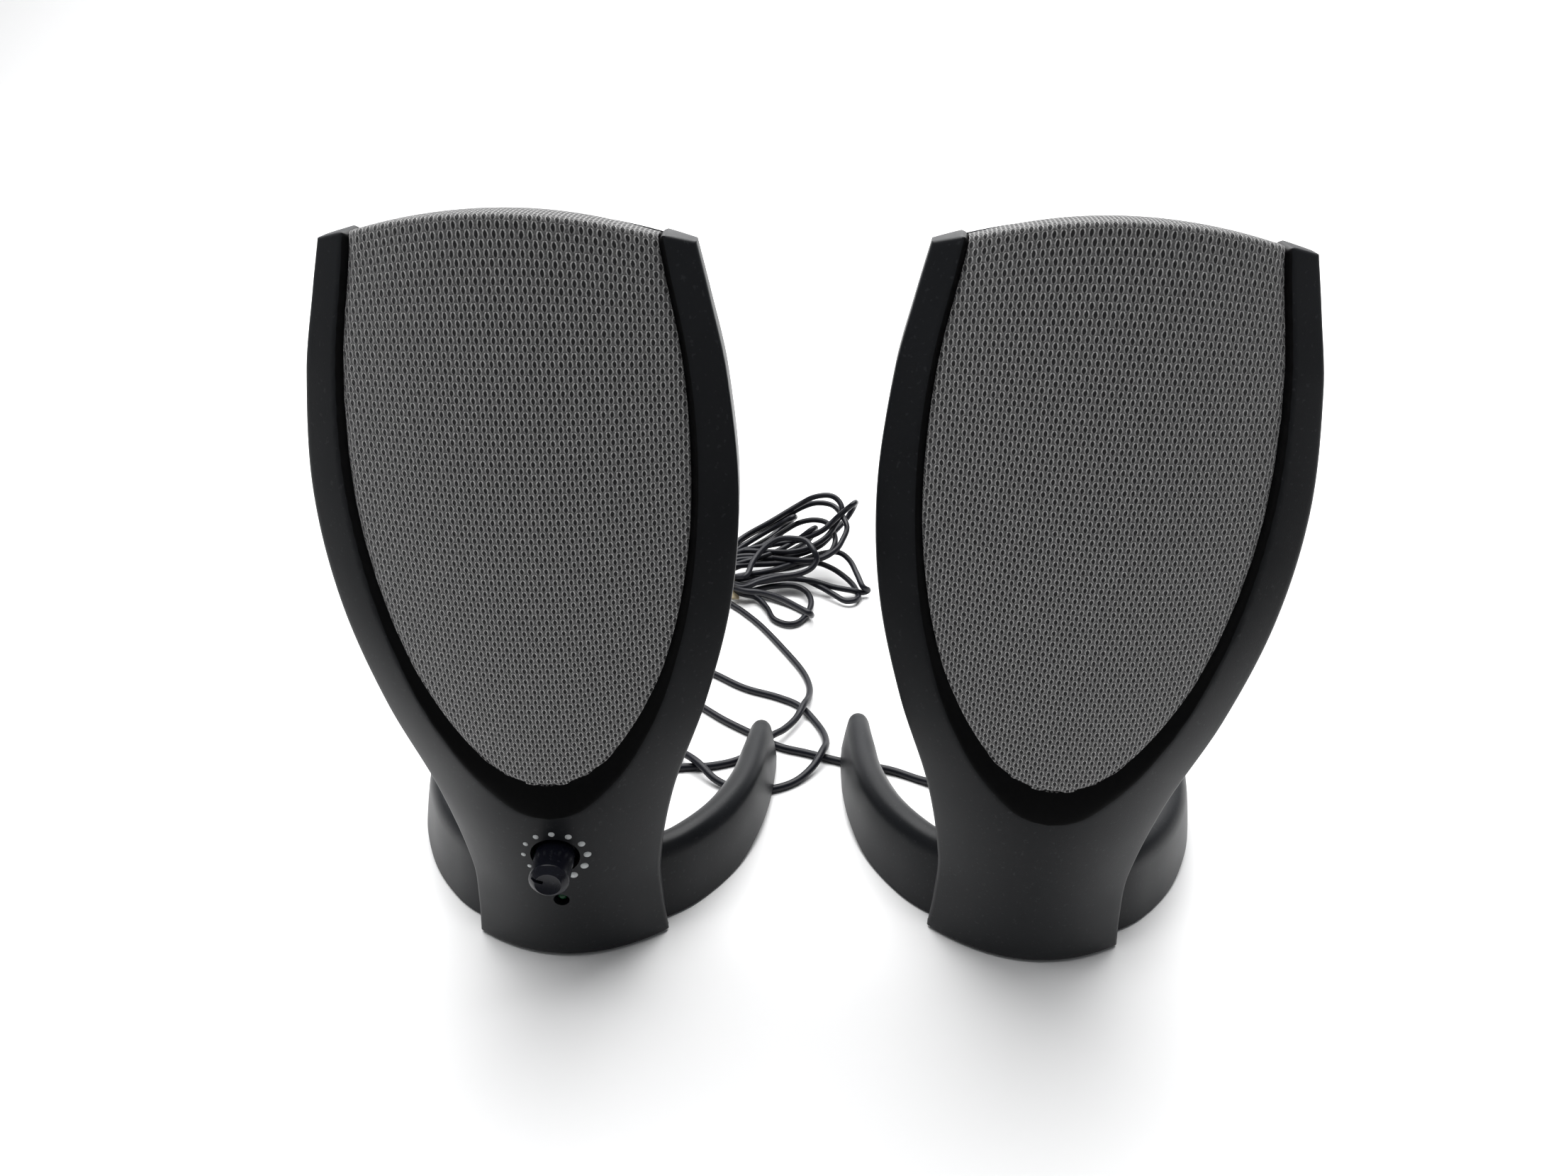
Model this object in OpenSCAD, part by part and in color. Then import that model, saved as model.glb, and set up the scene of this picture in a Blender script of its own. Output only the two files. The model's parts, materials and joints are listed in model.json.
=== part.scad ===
// A pair of small desktop speakers: a master with a volume knob, a second
// speaker, the link cord between them and the tied-up audio cord.
// Millimetres, +Z up, fronts facing -Y. The table is at z = 0.

/* [Cabinets] */
// Height of the cabinets' upper corners above the table
corner_h = 215; // [205:1:225]
// Height of the middle of the top above its corners
crown = 7; // [4:0.5:9]
// Skin thickness of the plastic shells
wall = 3.2; // [2.8:0.1:3.4]
// Angle each speaker turns in towards the middle
toe_in = 4.3; // [3.5:0.1:5]
// Distance between the two speakers' middles
spacing = 143.6; // [142:0.2:146]

/* [Grille] */
// Depth of the recess round the cloth
ledge = 1.6; // [1.2:0.1:1.8]
// Depth of the cloth's face behind the bezel's face
cloth_set = 1.1; // [0.8:0.1:1.4]
// Thickness of the cloth
cloth_t = 1.2; // [0.8:0.1:1.4]

/* [Drivers] */
// Height of the driver's middle
driver_h = 150; // [146:1:154]
// Radius of the driver's flange
driver_r = 34; // [32:0.5:35]

/* [Volume control] */
// Height of the knob's middle
knob_h = 45; // [43:0.5:47]
// Diameter of the knob
knob_d = 11.5; // [10:0.5:12]
// Diameter of the hole the knob stands in
knob_hole_d = 14.4; // [14:0.2:15]
// Radius of the ring of dots
dot_ring_r = 9.3; // [9:0.1:10]
// Height of the power lamp's middle
lamp_h = 26.2; // [25:0.1:28]

/* [Cords] */
// Diameter of the cords
cord_d = 3; // [2.6:0.1:3.2]

/* [Hidden] */
$fn = 48;
levels = 12;    // height steps in a lofted shell
arcs = 10;      // steps across a lofted shell
split_y = 8;    // plane where the front bezel meets the rear shell
stem_y = 1;     // back edge of the bezel at the foot of the stem
foot_top = 27;  // top of the foot's crest at the stem
floor_z = 0.8;  // underside of the cabinet, held up by the pads
slack = 0.3;    // air between pieces that only sit near each other
screw_hole_d = 2.9; // pilot holes of the shell screws

// Cabinet stations: height, half width, depth of the side edge,
// how far the face bulges forward of its edges, depth of the back
stations = [
    [0, 30.2, 0, 10.6, 18],
    [15, 29.0, -1.1, 11.3, 22],
    [31, 28.8, -2.4, 12.0, 27],
    [61, 34.2, -5.5, 12.8, 36],
    [92, 44.3, -7.0, 13.2, 46],
    [123, 51.7, -6.4, 13.6, 53],
    [154, 54.0, -5.0, 13.9, 55],
    [184, 51.3, -1.9, 13.5, 48],
    [203, 47.2, 0.4, 13.2, 36],
    [215, 44.3, 1.8, 13.0, 24]
];
W = 1;
EDGE = 2;
BULGE = 3;
BACK = 4;

// Front outlines, right half, from the bottom up: half width, height
grille_side = [[6, 72.2], [12, 75], [18.5, 81], [24, 88.4], [28.5, 96.5],
    [33.2, 107.4], [38.2, 125], [41.2, 146], [41.8, 167], [40.2, 188],
    [36, 209], [33.4, 224], [33, 240]];
recess_side = [[5, 61], [11, 63.8], [19.7, 72.4], [25.6, 81], [31.8, 93.5],
    [36.4, 107], [40.8, 125], [43.4, 146], [43.9, 167], [42, 188],
    [37.6, 209], [35.4, 224], [35, 240]];

// Foot stations along its middle: x, y, width factor, crest height, underside
foot_path = [[0, 7, 1, 27, 0.8], [14, 9, 1, 27, 0.8], [28, 15.5, 1, 26.6, 0.8],
    [37, 24, 1, 26, 0.8], [45, 35.5, 1, 25, 1.2], [51, 48.5, 0.97, 24, 3.4],
    [54.8, 61, 0.9, 23, 3.8], [57, 73, 0.85, 22.2, 3.8], [58.6, 84, 0.78, 21.2, 3.8],
    [59.7, 92.5, 0.62, 19, 3.8], [60.3, 97, 0.34, 14, 4.6]];
// Foot section: outward offset, share of the crest height
foot_section = [[9, 0], [8.2, 0.24], [6.2, 0.72], [5.2, 0.88], [3, 0.975],
    [0, 1], [-3, 0.975], [-5.2, 0.86], [-6.2, 0.66], [-6.4, 0]];

// Screws that join the shells: distance from the middle, height
screw_spots = [[40.5, 112], [43.3, 190]];
// Depth of the sockets' mouths on the master's back
socket_y = 41.4;
// Height of the middle of the master's sockets
socket_h = 50;
// Shift that brings the origin under the middle of the pair
middle_y = 35.53;

// Cord routes from the cabinets' backs over the table to the tied hank
link_route = [[67, 46.3, 44], [67.5, 53, 44], [67.5, 61, 36], [64.5, 69, 18],
    [57, 76, 5], [45, 82.5, 1.6], [31.5, 88.6, 1.6], [14, 92.3, 1.6],
    [-1, 97.3, 1.6], [-13, 101.2, 1.6], [-26, 110.4, 1.6], [-37, 118.5, 1.6],
    [-47, 127.4, 1.6], [-58, 137, 1.6], [-69, 146, 1.6], [-76, 156, 1.6],
    [-73, 165, 1.6], [-63, 166, 1.6], [-53, 160, 1.6], [-44, 154, 1.6],
    [-30.5, 144, 1.6], [-15, 137.5, 1.6], [-4.8, 130.4, 1.6], [3.8, 115.5, 1.6],
    [6.5, 103, 3.4], [5.2, 94.5, 4.9], [1.5, 86, 3], [-5, 78, 1.6],
    [-13.8, 72.8, 1.6], [-25, 71.6, 1.6], [-35, 75.5, 2.6], [-43, 83, 4.9],
    [-50, 90, 4.2], [-58, 96.5, 2.4], [-67, 97, 7], [-72, 89, 21],
    [-71.5, 78, 38], [-70.6, 68, 47.5], [-70, 60, 50], [-69.6, 53.9, 50]];
audio_route = [[-82.4, 35.5, 36.5], [-82.9, 42, 36.5], [-82.5, 50, 31],
    [-80, 58, 18], [-75, 67, 6], [-66, 76.5, 1.6], [-58, 81.5, 1.6],
    [-49, 84.2, 1.6], [-38.7, 85.8, 1.6], [-28.6, 90.3, 1.6], [-21, 97.5, 2.4],
    [-16, 103, 4.9], [-11, 109.5, 4.2], [-6.5, 118.5, 3.8], [-3.5, 128, 4.9],
    [-1.8, 137, 3], [-2, 148, 1.6], [-5.5, 160, 1.6], [-14, 177, 1.6],
    [-27, 200, 1.6], [-37, 214, 1.6], [-42.5, 221, 2.6], [-44, 225.8, 4]];

SIDES = ["left", "right"];
SHARED = ["front_bezel", "grille_frame", "grille_cloth", "rear_shell", "foot",
    "base_plate", "foot_pads", "baffle", "driver_basket", "driver_magnet",
    "driver_cone", "driver_surround", "driver_spider", "driver_screws",
    "case_screws", "port_tube"];

// --- Curves -------------------------------------------------------------

// Slope of one station column at station i
function slope(c, i) = let (a = max(i - 1, 0), b = min(i + 1, len(stations) - 1))
    (stations[b][c] - stations[a][c]) / (stations[b][0] - stations[a][0]);

// Station column c at height z, as a smooth curve through the stations
function at(z, c) = let (
    h = z * 215 / corner_h,
    i = min(len(stations) - 2, len([for (s = stations) if (s[0] <= h) 1]) - 1),
    p = stations[i], q = stations[i + 1],
    d = q[0] - p[0], t = (h - p[0]) / d)
    (2 * t ^ 3 - 3 * t ^ 2 + 1) * p[c] + (t ^ 3 - 2 * t ^ 2 + t) * d * slope(c, i)
    + (3 * t ^ 2 - 2 * t ^ 3) * q[c] + (t ^ 3 - t ^ 2) * d * slope(c, i + 1);

// How strongly the crowned top shows at height z
function topness(z) = (z / corner_h) ^ 6;

// Height of level j of a shell whose skin is set in
function level(j, inset, low) =
    low + (low > 0 ? inset : 0) + (corner_h - low - 2 * inset) * j / levels;

function across(i) = -90 + 180 * i / arcs;

// A point on the curved face, on a flat plane behind it, and on the back
function face(i, j, inset, low) = let (z = level(j, inset, low), a = across(i))
    [(at(z, W) - inset) * sin(a), at(z, EDGE) - at(z, BULGE) * cos(a) ^ 2 + inset,
    z + crown * topness(z) * cos(a) ^ 2];
function plane(i, j, inset, low, y) = let (p = face(i, j, inset, low))
    [p[0], y, p[2]];
function rear(i, j, inset, low) = let (z = level(j, inset, low), a = across(i))
    [(at(z, W) - inset) * sin(a), split_y + 1 + (at(z, BACK) - inset) * cos(a) ^ 0.8,
    z + crown * topness(z) * cos(a) ^ 2 - 12 * topness(z) * cos(a)];

// Depth of the face at a point of the front view
function face_y(x, z) = at(z, EDGE) - at(z, BULGE) * (1 - (x / at(z, W)) ^ 2);

// --- Solids -------------------------------------------------------------

// A closed solid between two sheets of points with the same rows and columns
module slab(front, back) {
    rows = len(front) - 1;
    cols = len(front[0]) - 1;
    size = (rows + 1) * (cols + 1);
    function id(r, c, far) = far * size + r * (cols + 1) + c;
    sheets = [for (far = [0, 1], r = [0:rows - 1], c = [0:cols - 1])
        for (t = [[id(r, c, far), id(r, c + 1, far), id(r + 1, c + 1, far)],
            [id(r, c, far), id(r + 1, c + 1, far), id(r + 1, c, far)]])
        far == 0 ? [t[2], t[1], t[0]] : t];
    edge_rows = [for (r = [0, rows], c = [0:cols - 1])
        for (t = [[id(r, c, 0), id(r, c + 1, 0), id(r, c + 1, 1)],
            [id(r, c, 0), id(r, c + 1, 1), id(r, c, 1)]])
        r == 0 ? t : [t[2], t[1], t[0]]];
    edge_cols = [for (c = [0, cols], r = [0:rows - 1])
        for (t = [[id(r, c, 0), id(r + 1, c, 1), id(r + 1, c, 0)],
            [id(r, c, 0), id(r, c, 1), id(r + 1, c, 1)]])
        c == 0 ? [t[2], t[1], t[0]] : [t[0], t[1], t[2]]];
    polyhedron(
        points = concat([for (row = front) each row], [for (row = back) each row]),
        faces = [for (f = concat(sheets, edge_rows)) [f[2], f[1], f[0]],
            for (f = edge_cols) f]);
}

// The front half of a cabinet, from its face back to a plane
module front_half(inset, y = split_y, low = floor_z) {
    slab([for (j = [0:levels]) [for (i = [arcs:-1:0]) face(i, j, inset, low)]],
        [for (j = [0:levels]) [for (i = [arcs:-1:0]) plane(i, j, inset, low, y)]]);
}

// The back half of a cabinet, from a plane to its rounded back
module rear_half(inset, y = split_y, low = foot_top - 0.8) {
    slab([for (j = [0:levels]) [for (i = [arcs:-1:0]) plane(i, j, inset, low, y)]],
        [for (j = [0:levels]) [for (i = [arcs:-1:0]) rear(i, j, inset, low)]]);
}

// Keeps a carved loft as one faceted solid, at its own size
module faceted() {
    $fn = 16;
    resize([0, 0, 0]) children();
}

// A prism through the cabinet with a mirrored front outline
module front_prism(side, y0 = -60, y1 = 60) {
    outline = concat(side, [for (k = [len(side) - 1:-1:0]) [-side[k][0], side[k][1]]]);
    translate([0, y1, 0]) rotate([90, 0, 0])
        linear_extrude(y1 - y0) polygon(outline);
}

// Turns a solid of revolution so that its axis points back into the cabinet
module facing_back(x, y, z) {
    translate([x, y, z]) rotate([-90, 0, 0]) children();
}

// A straight rod along +Y
module rod(x, y, z, length, d) {
    facing_back(x, y, z) cylinder(length, d = d);
}

// Places the children at the shell screws, pointing back, from a depth y
module at_screws(y) {
    for (spot = screw_spots, side = [-1, 1])
        facing_back(side * spot[0], y, spot[1]) children();
}

// Moves one speaker's own frame to its place in the pair
module placed(side) {
    s = side == "left" ? -1 : 1;
    in_row() translate([s * spacing / 2, s * 3.8, 0])
        rotate([0, 0, -s * toe_in]) children();
}

// Brings the pair over the origin
module in_row() {
    translate([0, -middle_y, 0]) children();
}

// --- Cabinet ------------------------------------------------------------

module front_bezel(master) {
    color("dimgray") difference() {
        faceted() difference() {
            front_half(0);
            difference() {
                front_half(wall, split_y + 1);
                at_screws(-12) cylinder(14, d = 5.6);
                if (master) for (x = [-15, 15]) rod(x, -20, 57, 23, 5);
            }
            at_screws(-2) cylinder(10, d = screw_hole_d);
            intersection() {
                difference() {
                    translate([-70, -40, 58]) cube([140, 80, 182]);
                    front_half(ledge, split_y + 5);
                }
                front_prism(recess_side);
            }
            front_prism(grille_side);
            translate([-60, stem_y, -1]) cube([120, 20, foot_top + 1]);
        }
        if (master) {
            rod(0, -30, knob_h, 30, knob_hole_d);
            rod(0, -30, lamp_h, 30, 4.8);
            dial_marks();
        }
    }
}

module grille_skin(outer, thickness) {
    faceted() intersection() {
        difference() {
            front_half(outer, split_y - 0.6);
            front_half(outer + thickness, split_y + 2);
        }
        front_prism([for (p = grille_side) [p[0] - slack, p[1] + slack]]);
    }
}

module grille_cloth() {
    color("darkgray") grille_skin(cloth_set, cloth_t);
}

module grille_frame() {
    color("black") faceted() difference() {
        union() {
            grille_skin(cloth_set + cloth_t, 1.6);
            intersection() {
                front_half(cloth_set + cloth_t + 0.8, split_y - 4);
                for (x = [-27, 27], z = [108, 194]) rod(x, -30, z, 32, 4);
            }
        }
        for (x = [-18, 0, 18], z = [102:16:198])
            translate([x - 7, -40, z - 6]) cube([14, 38, 12]);
    }
}

module rear_shell(master) {
    color("darkslategray") difference() {
        faceted() difference() {
            union() {
                rear_half(0.8);
                at_screws(5) cylinder(5, d = 7);
            }
            difference() {
                rear_half(0.8 + wall, split_y - 1);
                at_screws(4) cylinder(60, d = 7);
            }
            at_screws(4) cylinder(10, d = screw_hole_d);
            at_screws(12) cylinder(60, d = 5.2);
        }
        rod(0, 40, 105, 40, 24);
        if (master) {
            rod(-9, 20, socket_h, 40, 8);
            translate([1, 20, socket_h - 5.5]) cube([11, 40, 11]);
            rod(-7.6, 20, 36.5, 40, 6);
        } else {
            rod(-8, 20, 44, 40, 6);
        }
    }
}

// --- Foot ---------------------------------------------------------------

// Both halves of a foot's middle line, from the left tip to the right tip
foot_line = concat([for (k = [len(foot_path) - 1:-1:1])
    [-foot_path[k][0], foot_path[k][1], foot_path[k][2], foot_path[k][3], foot_path[k][4]]],
    foot_path);

// Unit direction pointing out of the horseshoe at station k
function outward(k) = let (
    a = foot_line[max(k - 1, 0)], b = foot_line[min(k + 1, len(foot_line) - 1)],
    dx = b[0] - a[0], dy = b[1] - a[1], n = sqrt(dx * dx + dy * dy))
    [dy / n, -dx / n];

// A point of the foot's upper or lower side, at station k and section point q
function foot_point(k, q, low) = let (
    s = foot_line[k], o = outward(k), out = q[0] * s[2],
    z = low ? s[4] : s[4] + 0.2 + (s[3] - s[4] - 0.2) * q[1])
    [s[0] + o[0] * out, s[1] + o[1] * out, z];

module foot_loft() {
    slab([for (k = [0:len(foot_line) - 1]) [for (q = foot_section) foot_point(k, q, false)]],
        [for (k = [0:len(foot_line) - 1]) [for (q = foot_section) foot_point(k, q, true)]]);
}

module foot() {
    color("dimgray") difference() {
        faceted() difference() {
            union() {
                foot_loft();
                translate([-26, stem_y + slack, 3]) cube([52, 24, foot_top - 3]);
            }
            translate([-60, -20, -1]) cube([120, 20 + stem_y + slack, 40]);
            translate([-23, stem_y + slack + 2.4, 0]) cube([46, 19, foot_top - 3]);
        }
    }
}

// Plate that closes the foot from below, between its walls
module base_plate() {
    color("black") translate([-22.6, 4, floor_z]) cube([45.2, 18.4, 2.2]);
}

module foot_pads() {
    color("black") {
        for (x = [-1, 1]) {
            translate([x * 16, 9, 0]) cylinder(floor_z, d = 8);
            translate([x * 57.8, 77.3, 0]) cylinder(3.8, d = 7);
        }
    }
}

// --- Driver, one solid of revolution per piece ----------------------------

module baffle() {
    color("gray") difference() {
        faceted() intersection() {
            front_half(wall + 0.2, 5);
            translate([-60, 2, 92]) cube([120, 3, 114]);
        }
        rod(0, 0, driver_h, 10, 2 * driver_r - 10);
        at_screws(0) cylinder(10, d = screw_hole_d);
        for (a = [45:90:315])
            rod((driver_r - 2.2) * cos(a), 0, driver_h + (driver_r - 2.2) * sin(a), 10, 2.4);
    }
}

module driver_basket() {
    r = driver_r;
    color("silver") facing_back(0, 0.4, driver_h) difference() {
        rotate_extrude() polygon([[r, 0], [r, 1.6], [r - 5.4, 1.6], [22, 20],
            [22, 24], [12.5, 24], [12.5, 22.4], [20.4, 22.4], [20.4, 19.4],
            [r - 7.2, 1.4], [r - 7.2, 0]]);
        for (a = [0:90:270]) rotate([0, 0, a]) translate([20, -7, 5]) cube([20, 14, 11]);
        for (a = [45:90:315])
            rotate([0, 0, a]) translate([r - 2.2, 0, -1]) cylinder(4, d = 2.4);
    }
}

module driver_magnet() {
    color("dimgray") facing_back(0, 0.4, driver_h) rotate_extrude()
        polygon([[0, 25], [9.6, 25], [9.6, 36], [14, 36], [14, 27.5], [11.3, 27.5],
            [11.3, 24], [20, 24], [20, 41], [0, 41]]);
}

module driver_cone() {
    color("black") facing_back(0, 0.4, driver_h) rotate_extrude()
        polygon([[0, 5.6], [6, 7], [10, 9.8], [11, 9.2], [24.2, 0.8], [25.6, 0.8],
            [25.6, 1.4], [24.5, 1.4], [10.6, 11.2], [10.6, 31], [10, 31],
            [10, 10.8], [5.6, 7.8], [0, 6.4]]);
}

module driver_surround() {
    color("black") facing_back(0, 0.4, driver_h) rotate_extrude()
        polygon([[24.4, -0.2], [25.4, -0.9], [26.2, -1.8], [27, -2.1], [27.8, -1.8],
            [28.4, -0.6], [29.6, -0.6], [29.6, 0], [28, 0], [27.6, -1], [27, -1.3],
            [26.4, -1.1], [25.8, 0.2], [25.6, 0.8], [24.2, 0.8]]);
}

module driver_spider() {
    color("goldenrod") facing_back(0, 0.4, driver_h) rotate_extrude()
        polygon([[10.6, 18], [12, 18], [13, 19], [14.4, 19], [15.4, 18], [16.6, 18],
            [17.4, 19], [20.4, 19.4], [20.4, 20], [17, 19.6], [16.2, 18.6],
            [15.8, 18.6], [14.8, 19.6], [12.6, 19.6], [11.6, 18.6], [10.6, 18.6]]);
}

// A round-headed screw whose shank points along +Z
module screw(head_d, shank_d, length) {
    translate([0, 0, -1.4]) cylinder(1.4, d = head_d);
    cylinder(length, d = shank_d);
}

module driver_screws() {
    color("silver") for (a = [45:90:315])
        facing_back((driver_r - 2.2) * cos(a), 0.4,
            driver_h + (driver_r - 2.2) * sin(a)) screw(4, 2.4, 5);
}

module case_screws() {
    color("silver") at_screws(12) {
        cylinder(1.8, d = 4.8);
        translate([0, 0, -13]) cylinder(13, d = 2.4);
    }
}

module port_tube() {
    color("black") facing_back(0, 20, 105) difference() {
        cylinder(at(105, BACK) - 14, d = 24);
        translate([0, 0, -1]) cylinder(60, d = 20);
    }
}

// --- Volume control and electronics, in the master only -------------------

module volume_knob() {
    color("black") facing_back(0, -28, knob_h) difference() {
        union() {
            cylinder(1.8, d1 = knob_d - 3.8, d2 = knob_d);
            translate([0, 0, 1.8]) cylinder(11.2, d = knob_d);
        }
        translate([0, 0, 4]) cylinder(20, d = 6);
        rotate([0, 0, 202]) translate([1.5, -0.6, -1]) cube([10, 1.2, 2.2]);
    }
}

module pot_shaft() {
    color("silver") rod(0, -24, knob_h, 26, 6);
}

module potentiometer() {
    color("steelblue") {
        difference() {
            rod(0, -12.4, knob_h, 6.4, 10);
            rod(0, -13, knob_h, 10, 6.1);
        }
        difference() {
            translate([-8.5, -6, knob_h - 9]) cube([17, 9, 18]);
            rod(0, -7, knob_h, 12, 6.1);
        }
    }
}

module dial_marks() {
    color("lightgray") for (k = [0:10])
        let (a = 30 * k - 150, x = dot_ring_r * sin(a), z = knob_h + dot_ring_r * cos(a))
        rod(x, face_y(x, z) - 0.1, z, 0.8, 1.15 + 0.13 * k);
}

module power_led() {
    color("green") {
        rod(0, -12.6, lamp_h, 5, 3);
        for (x = [-1, 1]) {
            rod(x, -8, lamp_h, 6, 0.6);
            translate([x, -2.2, lamp_h - 0.3]) cylinder(5, d = 0.6);
            rod(x, -2.4, lamp_h + 4.4, 5.4, 0.6);
        }
    }
}

// Small board behind the stem that carries the volume control and the lamp
module control_board() {
    color("green") difference() {
        translate([-20, 3, 28]) cube([40, 1.6, 34]);
        rod(0, 2, knob_h, 4, 7);
    }
}

module amp_board() {
    color("green") translate([-20, 21, 40]) cube([40, 1.6, 52]);
}

module heat_sink() {
    color("silver") translate([-15, 15, 68]) {
        translate([0, 4, 0]) cube([30, 2, 22]);
        for (x = [0:7:28]) translate([x, 0, 0]) cube([2, 4, 22]);
    }
}

module capacitors() {
    color("darkblue") for (x = [-12, 0, 12]) rod(x, 22.6, 84, 12, 8);
}

module dc_inlet() {
    color("black") difference() {
        union() {
            rod(-9, 22.6, socket_h, socket_y - 22.6, 8);
            translate([-14, 22.6, socket_h - 5]) cube([10, 7, 10]);
        }
        rod(-9, 30, socket_h, 40, 5.5);
    }
}

module speaker_socket() {
    color("black") difference() {
        translate([1, 22.6, socket_h - 5.5]) cube([11, socket_y - 22.6, 11]);
        rod(6.5, 28, socket_h, 40, 3.6);
    }
}

// Strain relief whose flange sits inside the rear shell
module gland(x, y, z) {
    color("black") {
        rod(x, y, z, 9, 6);
        rod(x, y - 2, z, 2, 8);
    }
}

module audio_gland() {
    gland(-7.6, 31, 36.5);
}

module link_gland() {
    gland(-8, 33, 44);
}

// --- Cords ---------------------------------------------------------------

// A swept tube with one ring of eight points at every point of a route
module tube(route, d) {
    n = len(route);
    function along(k) = let (v = route[min(k + 1, n - 1)] - route[max(k - 1, 0)])
        v / norm(v);
    function side(t) = let (s = cross(t, abs(t[2]) > 0.9 ? [0, 1, 0] : [0, 0, 1]))
        s / norm(s);
    points = [for (k = [0:n - 1]) let (t = along(k), s = side(t), u = cross(s, t))
        for (a = [0:45:315]) route[k] + d / 2 * (s * cos(a) + u * sin(a))];
    walls = [for (k = [0:n - 2], a = [0:7]) let (b = (a + 1) % 8)
        for (f = [[k * 8 + a, k * 8 + b, k * 8 + 8 + b],
            [k * 8 + a, k * 8 + 8 + b, k * 8 + 8 + a]]) f];
    ends = [for (a = [1:6]) each [[0, a + 1, a],
        [(n - 1) * 8, (n - 1) * 8 + a, (n - 1) * 8 + a + 1]]];
    polyhedron(points, concat(walls, ends));
}

module link_cord() {
    color("black") in_row() tube(link_route, cord_d);
}

module link_plug() {
    color("black") placed("left") {
        rod(6.5, 29, socket_h, socket_y - 29, 3.5);
        rod(6.5, socket_y, socket_h, 16, 8);
    }
}

module audio_cord() {
    color("black") in_row() tube(audio_route, cord_d);
}

// The tied loops as one flat outline with round ends
module audio_hank() {
    ends = [for (s = [1, -1], a = [-90:15:90]) s * [36 + 36 * cos(a), 36 * sin(a)]];
    color("black") in_row() translate([-44, 262, 0]) linear_extrude(14) polygon(ends);
}

module audio_plug() {
    color("black") in_row() translate([-116, 262, 5]) rotate([0, -90, 0]) {
        cylinder(22, d = 8);
        cylinder(36, d = 3.5);
    }
}

module twist_tie() {
    color("ivory") in_row() translate([-47, 229, 14]) cube([6, 22, 1]);
}

// --- Assembly -------------------------------------------------------------

module shared(name, master) {
    if (name == "front_bezel") front_bezel(master);
    if (name == "grille_frame") grille_frame();
    if (name == "grille_cloth") grille_cloth();
    if (name == "rear_shell") rear_shell(master);
    if (name == "foot") foot();
    if (name == "base_plate") base_plate();
    if (name == "foot_pads") foot_pads();
    if (name == "baffle") baffle();
    if (name == "driver_basket") driver_basket();
    if (name == "driver_magnet") driver_magnet();
    if (name == "driver_cone") driver_cone();
    if (name == "driver_surround") driver_surround();
    if (name == "driver_spider") driver_spider();
    if (name == "driver_screws") driver_screws();
    if (name == "case_screws") case_screws();
    if (name == "port_tube") port_tube();
}

for (side = SIDES, name = SHARED)
    placed(side) shared(name, side == "left");

placed("left") volume_knob();
placed("left") pot_shaft();
placed("left") potentiometer();
placed("left") dial_marks();
placed("left") power_led();
placed("left") amp_board();
placed("left") heat_sink();
placed("left") capacitors();
placed("left") dc_inlet();
placed("left") speaker_socket();
placed("left") audio_gland();
placed("right") link_gland();
link_cord();
link_plug();
audio_cord();
audio_hank();
audio_plug();
placed("left") control_board();
twist_tie();
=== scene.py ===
"""Looks of the desktop speakers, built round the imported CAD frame.

Each speaker is modelled in its own frame, in millimetres: x to the right, y to
the back, z up, origin on the table under the front of the stem. place() turns
that into the row's frame in metres.
"""

import json
import math

import bmesh
import bpy
import numpy as np
from mathutils import Matrix, Vector


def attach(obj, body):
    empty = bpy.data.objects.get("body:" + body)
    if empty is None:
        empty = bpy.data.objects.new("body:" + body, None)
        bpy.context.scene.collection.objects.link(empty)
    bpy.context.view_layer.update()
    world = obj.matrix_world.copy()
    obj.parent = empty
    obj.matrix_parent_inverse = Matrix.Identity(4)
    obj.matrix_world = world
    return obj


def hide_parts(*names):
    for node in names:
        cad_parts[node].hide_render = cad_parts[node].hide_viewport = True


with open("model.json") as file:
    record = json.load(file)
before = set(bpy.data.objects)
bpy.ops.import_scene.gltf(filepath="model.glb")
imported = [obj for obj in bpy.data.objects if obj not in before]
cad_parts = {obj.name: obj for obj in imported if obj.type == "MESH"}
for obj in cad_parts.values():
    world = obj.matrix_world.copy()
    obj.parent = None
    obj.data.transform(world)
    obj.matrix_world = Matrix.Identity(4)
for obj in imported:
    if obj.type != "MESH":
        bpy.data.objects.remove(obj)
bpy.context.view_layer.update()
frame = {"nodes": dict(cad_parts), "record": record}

MM = 0.001
SIDES = {"left": -1, "right": 1}
MASTER = "left"
TOE_IN = math.radians(4.3)
HALF_SPACING = 71.8
STAGGER = 3.8
MIDDLE_Y = 35.53

CORNER_H = 215.0
CROWN = 7.0
FLOOR_Z = 0.8
SPLIT_Y = 8.0
STEM_Y = 1.0
FOOT_TOP = 27.0
KNOB_H = 45.0
LAMP_H = 26.2
SOCKET_H = 50.0
CORD_R = 1.5

KNOB_R = 5.75
KNOB_FRONT = -28.0
KNOB_LENGTH = 13.0
KNOB_HOLE_D = 14.4
LAMP_HOLE_D = 4.8
DIAL_R = 9.3
DIAL_DOTS = 11

BOX_FACES = [(0, 1, 3, 2), (4, 6, 7, 5), (0, 4, 5, 1), (2, 3, 7, 6), (0, 2, 6, 4), (1, 5, 7, 3)]

# Height, half width, depth of the side edge, forward bulge, depth of the back
STATIONS = np.array(
    [
        (0, 30.2, 0.0, 10.6, 18),
        (15, 29.0, -1.1, 11.3, 22),
        (31, 28.8, -2.4, 12.0, 27),
        (61, 34.2, -5.5, 12.8, 36),
        (92, 44.3, -7.0, 13.2, 46),
        (123, 51.7, -6.4, 13.6, 53),
        (154, 54.0, -5.0, 13.9, 55),
        (184, 51.3, -1.9, 13.5, 48),
        (203, 47.2, 0.4, 13.2, 36),
        (215, 44.3, 1.8, 13.0, 24),
    ],
    float,
)
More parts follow.
